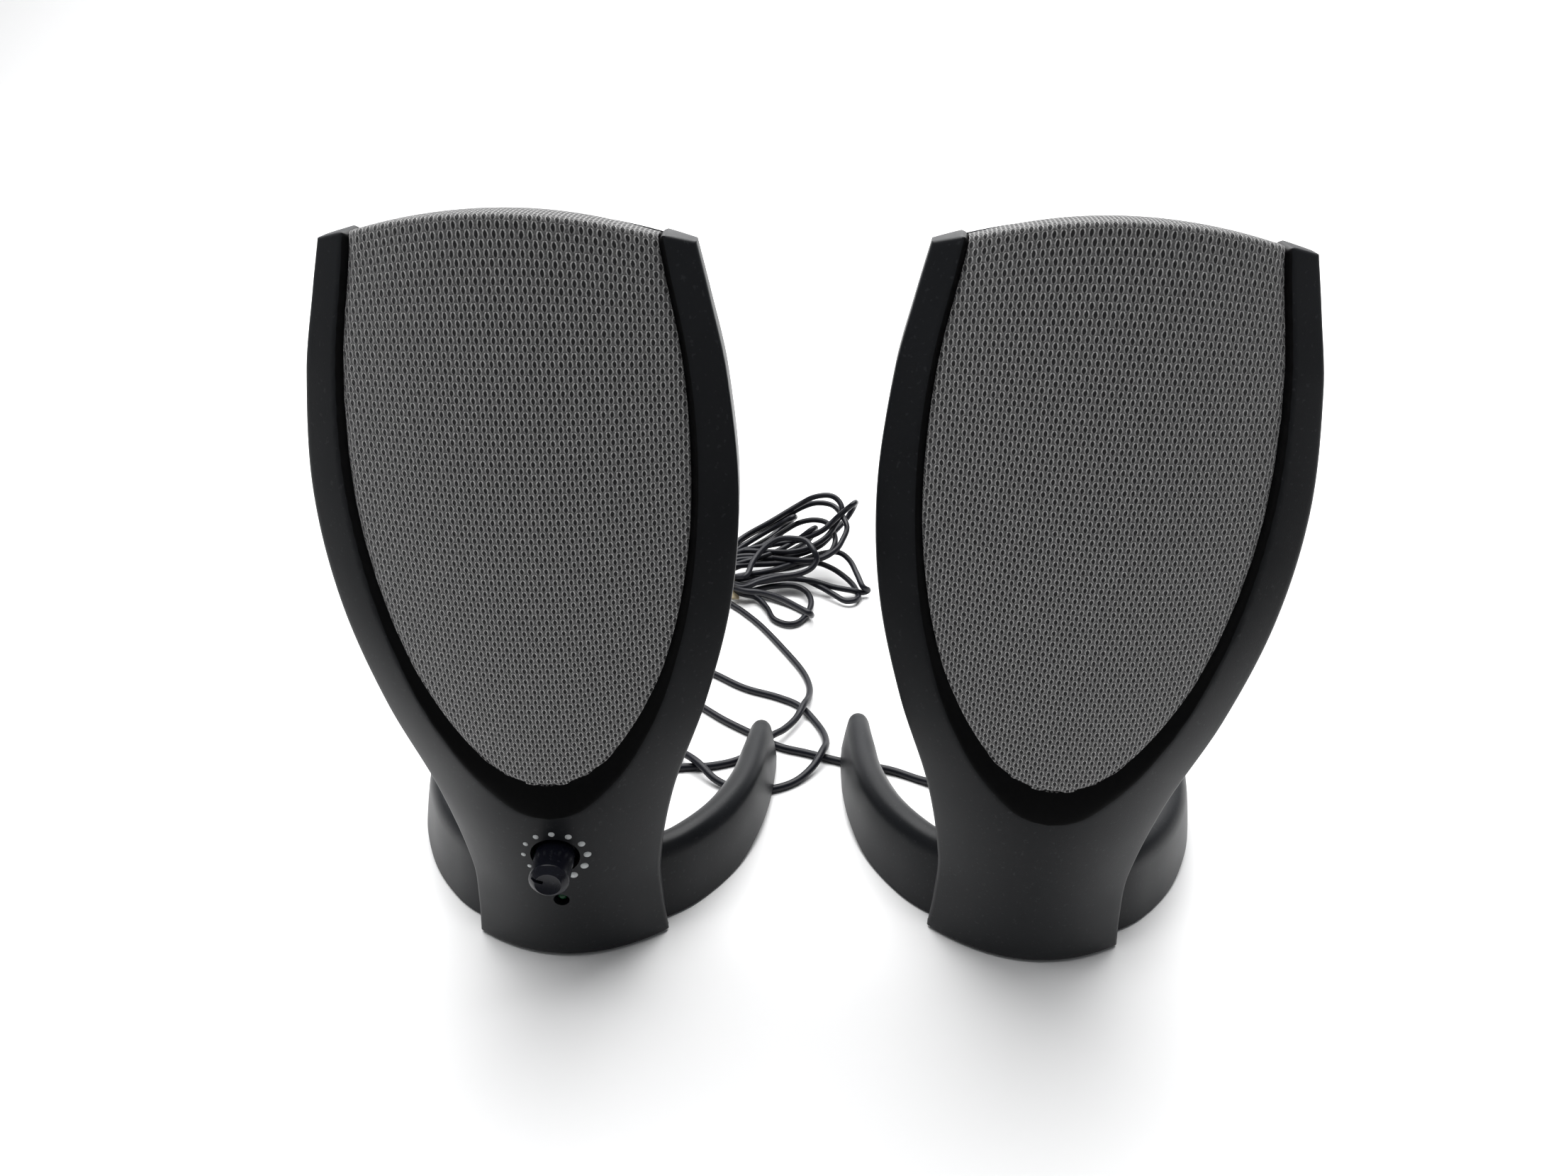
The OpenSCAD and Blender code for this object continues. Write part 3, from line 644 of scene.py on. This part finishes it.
def front_bezel(side):
    """The face, its recess and its side walls as one skin, then thickened and drilled."""
    z_rows = bezel_rows()
    rows = [(FLOOR_Z, SPLIT_Y, True)]
    rows += [(FLOOR_Z + d, y, False) for d, y in LIP[::-1]]
    rows += [(z, 0.0, False) for z in z_rows]
    rows += [(CORNER_H - d, y, False) for d, y in LIP]
    rows += [(CORNER_H, SPLIT_Y, True)]
    halves = []
    for sign in (-1, 1):
        grid = []
        for n, (z, row_dy, row_back) in enumerate(rows):
            w, r, g = half_width(z), half_at(RECESS_EDGE, z), half_at(CLOTH_EDGE, z)
            cols = [(w, None)] + [(w - d, y) for d, y in LIP[::-1]]
            cols += [(x, 0.0) for x in np.linspace(w - 0.9, r, 12)[1:]]
            cols += [(x, 0.0) for x in np.linspace(r, g, 9)[1:]]
            x = np.array([c[0] for c in cols])
            zz = np.full(len(x), z)
            y = face_y(x, zz)
            top = np.zeros(len(x))
            in_recess = (x < r + 1e-6) & (z >= RECESS_LINE[0][1])
            if in_recess.any():
                a = gap_to(RECESS_EDGE, x[in_recess], zz[in_recess])
                b = gap_to(CLOTH_EDGE, x[in_recess], zz[in_recess])
                inward = a / (a + b + 1e-9)
                y[in_recess] += BEVEL_DEPTH * inward**1.15
                top[in_recess] = 2.6 * inward * max(0.0, 1 - (CORNER_H - z) / 5)
            edge_back = STEM_Y if z < FOOT_TOP else SPLIT_Y
            for k, (_, dy) in enumerate(cols):
                if row_back or dy is None:
                    y[k] = edge_back
                else:
                    y[k] += max(dy, row_dy)
            grid.append(np.stack([sign * x, y, zz + lift(x, zz) - top], 1))
        halves.append(np.array(grid))
    n_rows, n_cols = halves[0].shape[:2]
    points = np.vstack([h.reshape(-1, 3) for h in halves])
    faces = grid_faces(n_rows, n_cols) + grid_faces(n_rows, n_cols, n_rows * n_cols)
    faces = [f for f in faces if len({tuple(np.round(points[i], 4)) for i in f}) > 2]
    obj = mesh_object(f"{side}_bezel_skin", place(side, points), faces)
    point_outwards(obj, place(side, (0, 60, 110)))
    thicken(obj, 2.2)
    if side == MASTER:
        cut(obj, [
            rod_solid(side, "knob_hole", 0, -40, KNOB_H, 40, KNOB_HOLE_D),
            rod_solid(side, "lamp_hole", 0, -40, LAMP_H, 40, LAMP_HOLE_D),
        ])
    else:
        weld(obj)
    # Painted shade: marks the recess faces that the shell material turns near-black.
    paint_recess_shade(side, obj)
    return finish_piece(obj, "shell_plastic", replaces=[f"{side}_front_bezel"])


def paint_recess_shade(side, obj):
    """Marks the faces between the cloth and the rim of its recess, where the shell's material puts its
    near-black painted shade.
    """
    centres = np.array([tuple(f.center) for f in obj.data.polygons])
    local = from_row(side, centres)
    x, z = np.abs(local[:, 0]), local[:, 2] - lift(local[:, 0], local[:, 2])
    inside = (x < np.interp(z, RECESS_EDGE[:, 1], RECESS_EDGE[:, 0], left=-1)) & (local[:, 1] < SPLIT_Y - 2)
    recess_shade = obj.data.attributes.new("recess", "FLOAT", "FACE")
    recess_shade.data.foreach_set("value", inside.astype(np.float32))


def point_outwards(obj, inside):
    """Turns the faces of an open skin away from a point inside it."""
    inside = Vector(inside)
    bm = bmesh.new()
    bm.from_mesh(obj.data)
    votes = sum(f.calc_area() * (f.calc_center_median() - inside).dot(f.normal) for f in bm.faces)
    if votes < 0:
        bmesh.ops.reverse_faces(bm, faces=bm.faces)
    bm.to_mesh(obj.data)
    bm.free()


def rear_shell(side):
    inset, turns = 0.8, 49
    angles = np.linspace(-90, 90, turns)
    heights = np.concatenate([[FOOT_TOP], np.linspace(FOOT_TOP, CORNER_H - inset, 70)])
    grid = []
    for z in heights:
        a = np.radians(angles)
        w, depth = half_width(z) - inset, station(z, 4) - inset
        x = w * np.sin(a)
        top = (z / CORNER_H) ** 6
        y = SPLIT_Y + 1 + depth * np.abs(np.cos(a)) ** 0.8
        grid.append(np.stack([x, y, z + CROWN * top * np.cos(a) ** 2 - 12 * top * np.cos(a)], 1))
    rim = np.array(grid)
    front = rim.copy()
    a = np.radians(angles)
    for k, z in enumerate(heights):
        front[k, :, 1] = SPLIT_Y
        front[k, :, 2] = z + CROWN * (z / CORNER_H) ** 6 * np.cos(a) ** 2
    bottom = np.stack([front[0], rim[0]])
    top_sheet = np.stack([front[-1] * (1 - t) + rim[-1] * t for t in (0, 0.5, 1)])
    sides = [np.stack([front[:, c], rim[:, c]]) for c in (0, -1)]
    points, faces = [], []
    for sheet in [rim, bottom, top_sheet, *sides]:
        faces += grid_faces(sheet.shape[0], sheet.shape[1], len(points))
        points += list(sheet.reshape(-1, 3))
    obj = mesh_object(f"{side}_shell_skin", place(side, points), faces)
    point_outwards(obj, place(side, (0, 20, 120)))
    thicken(obj, 2.4)
    cutters = [rod_solid(side, "port_hole", 0, 40, 105, 40, 24)]
    for x, z in ((40.5, 112), (43.3, 190)):
        cutters += [rod_solid(side, "well", s * x, 14, z, 60, 5.2) for s in (-1, 1)]
    if side == MASTER:
        cutters += [
            rod_solid(side, "inlet_hole", -9, 25, SOCKET_H, 40, 8),
            box_solid(side, "socket_hole", (1, 25, SOCKET_H - 5.5), (12, 70, SOCKET_H + 5.5)),
        ]
    cut(obj, cutters)
    return finish_piece(obj, "shell_plastic", replaces=[f"{side}_rear_shell"])


def grille_cloth(side):
    """The knitted cloth, rolled over the top edge and tucked in at its sides."""
    inset, roll, tuck, swell = 1.1, 1.6, 1.5, 2.6
    z_rows = np.unique(np.round(np.concatenate([
        CLOTH_LINE[0][1] + 0.03 * np.arange(0, 13) ** 2, np.linspace(76.5, CORNER_H - inset - roll, 84)]), 3))
    across = np.linspace(-1, 1, 61)
    across = np.sign(across) * (1 - (1 - np.abs(across)) ** 1.25)
    grid, uvs = [], []
    for z in z_rows:
        g = max(half_at(CLOTH_EDGE, z) + 0.25, 0.3)
        x = g * across
        zz = np.full(len(x), z)
        edge = np.clip(gap_to(CLOTH_EDGE, x, zz) / 2.2, 0, 1)
        y = face_y(x, zz) + inset + tuck * (1 - edge) ** 2
        rise = swell * max(0.0, 1 - (CORNER_H - z) / 30) ** 2 * (1 - 0.7 * across**2)
        grid.append(np.stack([x, y, zz + lift(x, zz) + rise], 1))
        uvs.append(np.stack([x, zz], 1))
    last, z = grid[-1], z_rows[-1]
    for k in range(1, 6):
        a = math.pi / 2 * k / 5
        row = last.copy()
        row[:, 1] += roll * (1 - math.cos(a))
        row[:, 2] += roll * math.sin(a)
        grid.append(row)
        uvs.append(np.stack([row[:, 0], np.full(len(row), z + roll * a)], 1))
    last, v = grid[-1], z + roll * math.pi / 2
    depth = SPLIT_Y + 1.5 - last[:, 1]
    for t in np.linspace(0, 1, 9)[1:]:
        row = last.copy()
        row[:, 1] += depth * t
        row[:, 2] += 0.4 * math.sin(math.pi * t) - 1.3 * t
        grid.append(row)
        uvs.append(np.stack([row[:, 0], v + depth * t], 1))
    grid, uvs = np.array(grid), np.array(uvs).reshape(-1, 2)
    faces = grid_faces(grid.shape[0], grid.shape[1])
    mesh = bpy.data.meshes.new(f"{side}_cloth")
    mesh.from_pydata([tuple(p) for p in place(side, grid.reshape(-1, 3))], [], faces)
    layer = mesh.uv_layers.new(name="UVMap")
    for loop in mesh.loops:
        layer.data[loop.index].uv = uvs[loop.vertex_index]
    obj = bpy.data.objects.new(f"{side}_cloth", mesh)
    bpy.context.scene.collection.objects.link(obj)
    mesh.shade_smooth()
    point_outwards(obj, place(side, (0, 60, 110)))
    thicken(obj, 0.8)
    finish_piece(obj, "grille_cloth", replaces=[f"{side}_grille_cloth"])
    return obj


def foot_stations():
    """Smooth stations along one leg, with a rounded tip."""
    rows = spline(FOOT_PATH, 7)
    end, before = rows[-1], rows[-4]
    way = (end[:2] - before[:2]) / np.linalg.norm(end[:2] - before[:2])
    cap = []
    for a in np.radians([12, 24, 36, 48, 60, 70, 78, 84, 88]):
        x, y = end[:2] + way * 8.6 * math.sin(a)
        c = math.cos(a)
        under = end[4] + 3 * (1 - c)
        cap.append((x, y, end[2] * c, under + (end[3] - under) * c**0.55, under))
    return np.vstack([rows, cap])


def foot(side):
    half = foot_stations()
    mirrored = half[:0:-1].copy()
    mirrored[:, 0] *= -1
    line = np.vstack([mirrored, half])
    section = spline(FOOT_SECTION, 3)
    way = np.gradient(line[:, :2], axis=0)
    way /= np.linalg.norm(way, axis=1)[:, None]
    out = np.stack([way[:, 1], -way[:, 0]], 1)
    grid = []
    for s, o in zip(line, out):
        base = s[4]
        shape = [(q[0], base + (s[3] - base) * q[1]) for q in section]
        shape += [(q, base) for q in np.linspace(-6.0, 8.8, 6)]
        grid.append([(s[0] + o[0] * q * s[2], s[1] + o[1] * q * s[2], z) for q, z in shape])
    grid = np.array(grid)
    cols = grid.shape[1]
    faces = grid_faces(len(grid), cols, wrap=True)
    last = (len(grid) - 1) * cols
    faces += [tuple(range(cols)), tuple(range(last, last + cols))]
    obj = mesh_object(f"{side}_foot_body", place(side, grid.reshape(-1, 3)), faces, 50.0)
    cut(obj, [box_solid(side, "hollow", (-23, 3.7, -1), (23, 22.7, 24)),
              box_solid(side, "stem_room", (-60, -30, -5), (60, STEM_Y + 0.9, 40))])
    block = box_solid(side, f"{side}_foot_block", (-26, STEM_Y + 0.3, 3), (26, 25.3, FOOT_TOP))
    finish_piece(block, "shell_plastic")
    return finish_piece(obj, "shell_plastic", replaces=[f"{side}_foot"])


# --- Controls ------------------------------------------------------------------------


def volume_knob():
    """Gloss cap with a chamfered front, a shallow dish and a notch at ten o'clock."""
    r, back = KNOB_R, KNOB_LENGTH
    profile = [(0, 0.12), (3.4, 0.1), (3.72, 0.0), (3.95, 0.1), (r - 0.2, 1.6), (r - 0.04, 1.8), (r, 2.1),
               (r, back), (3.2, back), (3.2, back - 0.3)]
    knob = lathe(MASTER, "knob_cap", profile, (0, KNOB_FRONT, KNOB_H), 96)
    angle = math.radians(158)
    low, high = 1.5, 7.0
    c, s = math.cos(angle), math.sin(angle)
    corners = []
    for along in (low, high):
        for y in (-29.5, -26.9):
            for side_step in (-0.55, 0.55):
                corners.append((along * c - side_step * s, y, KNOB_H + along * s + side_step * c))
    cut(knob, [mesh_object("notch", place(MASTER, corners), BOX_FACES)])
    return finish_piece(knob, "gloss_black", "volume_knob", ["volume_knob"])


def dial_dots():
    """Eleven printed dots that grow clockwise round the knob."""
    points, faces = [], []
    turn = np.linspace(0, 2 * math.pi, 24, endpoint=False)
    for k in range(DIAL_DOTS):
        a = math.radians(30 * k - 150)
        x0, z0, r = DIAL_R * math.sin(a), KNOB_H + DIAL_R * math.cos(a), 0.575 + 0.065 * k
        start = len(points)
        ring = [(x0 + r * math.cos(b), z0 + r * math.sin(b)) for b in turn]
        for x, z in [*ring, (x0, z0)]:
            points.append((x, float(face_y(x, z)) - 0.04, z))
        faces += [(start + 24, start + i, start + (i + 1) % 24) for i in range(24)]
    dots = mesh_object("dial_dots", place(MASTER, points), faces)
    thicken(dots, 0.06)
    return finish_piece(dots, "grey_print", replaces=["dial_marks"])


def power_lamp():
    """A small dome in the bottom of its hole."""
    dome = [math.radians(a) for a in range(0, 91, 10)]
    profile = [(1.5 * math.sin(a), 1.3 - 1.3 * math.cos(a)) for a in dome] + [(1.5, 4.5), (0, 4.5)]
    lamp = lathe(MASTER, "lamp_dome", profile, (0, -12.6, LAMP_H))
    return finish_piece(lamp, "green_lens", replaces=["power_led"])


# --- Cords ----------------------------------------------------------------------------


def cord_curve(name, points):
    """One round cord along row points, as a smooth spline."""
    curve = bpy.data.curves.new(name, "CURVE")
    curve.dimensions = "3D"
    curve.bevel_depth = CORD_R * MM
    curve.bevel_resolution = 5
    curve.use_fill_caps = True
    line = curve.splines.new("POLY")
    line.points.add(len(points) - 1)
    for k, p in enumerate(points):
        line.points[k].co = (*p, 1)
    line.use_smooth = True
    obj = bpy.data.objects.new(name, curve)
    bpy.context.scene.collection.objects.link(obj)
    return obj


def link_cord():
    points = to_row(spline(LINK_ROUTE, 6))
    cord = cord_curve("link_lead", points)
    finish_piece(cord, "cord_vinyl", replaces=["link_cord"])


def bundle_slots():
    """Places of the strands inside the tie, sideways and up, from the table upwards."""
    rows = (3, 4, 5, 5, 4, 3)
    return [((i - (n - 1) / 2) * 3.15, 1.6 + 2.75 * k) for k, n in enumerate(rows) for i in range(n)]


def through_tie(slot, leftwards):
    """Two points of a strand on its way through the tie."""
    middle = TIE + TIE_SIDE * slot[0]
    middle[2] = slot[1]
    ends = [middle + TIE_WAY * 7, middle - TIE_WAY * 7]
    return ends if leftwards else ends[::-1]


def far_loop(k, slot):
    """A loop on the far side of the tie, in front of the plug or behind it."""
    heading = math.radians((190 + 5 * (k // 2)) if k % 2 else (142 - 5 * (k // 2)))
    ahead = np.array((math.cos(heading), math.sin(heading), 0))
    aside = np.array((-math.sin(heading), math.cos(heading), 0))
    reach, half = 50 + 4 * (k % 3), 9.5
    outline = [(0.35, 0.5), (0.6, 0.95), (0.82, 1), (0.97, 0.55), (1, 0), (0.97, -0.55), (0.82, -1),
               (0.6, -0.95), (0.35, -0.5)]
    start = TIE - TIE_WAY * 7
    points = []
    for a, b in outline:
        point = start + ahead * a * reach + aside * b * half
        point[2] = slot[1] * (1 - a) + (1.8 + 1.7 * (k // 2) + 0.7 * b) * a + 1.2 * a
        points.append(point)
    return points


def hank():
    """The wound part of the audio cord: back and forth through the tie, then to the plug."""
    slots = bundle_slots()
    points = list(through_tie(slots[0], True))
    for k, loop in enumerate(HANK_LOOPS):
        points += far_loop(k, slots[2 * k])
        points += through_tie(slots[2 * k + 1], False)
        points += [np.array(p, float) for p in loop]
        points += through_tie(slots[2 * k + 2], True)
    points += [np.array(p, float) for p in ((-84, 247, 12), (-98, 256, 6), (-107, 261, 5), PLUG_END)]
    return points


def audio_plug():
    """A moulded grip with a ribbed neck and a ringed pin."""
    grip = [(0, 0), (1.9, 0), (2.1, 0.3), (2.1, 1.0), (2.5, 1.0), (2.5, 2.2), (2.2, 2.2), (2.2, 3.2),
            (2.9, 3.2), (2.9, 4.4), (2.5, 4.4), (2.5, 5.4), (3.6, 5.6), (4.0, 6.4), (4.0, 21), (3.7, 22),
            (0, 22)]
    pin = [(0, 22), (1.75, 22), (1.75, 26), (1.55, 26.1), (1.55, 26.6), (1.75, 26.7), (1.75, 31),
           (1.55, 31.1), (1.55, 31.6), (1.75, 31.7), (1.75, 33), (1.2, 33.6), (1.7, 34.6), (0.9, 36), (0, 36)]
    made = []
    for name, profile, slot in (("plug_grip", grip, "cord_vinyl"), ("plug_pin", pin, "steel")):
        rings = [(-d, r * math.cos(a), r * math.sin(a)) for r, d in profile
                 for a in np.linspace(0, 2 * math.pi, 32, endpoint=False)]
        points = to_row(np.array(rings) + PLUG_END)
        obj = mesh_object(name, points, grid_faces(len(profile), 32, wrap=True), 32)
        made.append(finish_piece(obj, slot, replaces=["audio_plug"] if name == "plug_grip" else ()))
    return made


def twist_tie():
    """A paper band round the bundle, with one loose end."""
    ring = [(9.4 * math.cos(a), 9.2 + 9.0 * math.sin(a)) for a in np.linspace(0, 2 * math.pi, 40)]
    centre = [TIE + TIE_SIDE * q for q, _ in ring]
    points, across = [], TIE_WAY * 2.5
    for c, (_, z) in zip(centre, ring):
        for step in (-across, across):
            points.append((c[0] + step[0], c[1] + step[1], max(z, 0.35)))
    band = mesh_object("tie_band", to_row(points), grid_faces(len(ring), 2))
    thicken(band, 0.5, 0.0)
    end = spline([(-59, 234, 16), (-53, 233.5, 15.5), (-47.5, 233.5, 12.5), (-44, 231, 7.5),
                  (-43, 226, 2.5)], 6)
    points = []
    for k, p in enumerate(end):
        way = end[min(k + 1, len(end) - 1)] - end[max(k - 1, 0)]
        side_way = np.cross(way, (0.25, -1.0, 0.35))
        side_way *= 2.4 / np.linalg.norm(side_way)
        points += [p - side_way, p + side_way]
    tail = mesh_object("tie_end", to_row(points), grid_faces(len(end), 2))
    thicken(tail, 0.5, 0.0)
    for obj, names in ((band, ["twist_tie"]), (tail, [])):
        finish_piece(obj, "tie_paper", replaces=names)


def audio_cord():
    points = to_row(spline(AUDIO_ROUTE + [tuple(p) for p in hank()], 6))
    points[:, 2] = np.maximum(points[:, 2], (CORD_R + 0.02) * MM)
    cord = cord_curve("audio_lead", points)
    finish_piece(cord, "cord_vinyl", replaces=["audio_cord", "audio_hank"])
    audio_plug()
    twist_tie()


make_camera()
make_floor()
make_light()
link_cord()
audio_cord()
paint_frame()
for side in SIDES:
    front_bezel(side)
    rear_shell(side)
    grille_cloth(side)
    foot(side)
volume_knob()
dial_dots()
power_lamp()
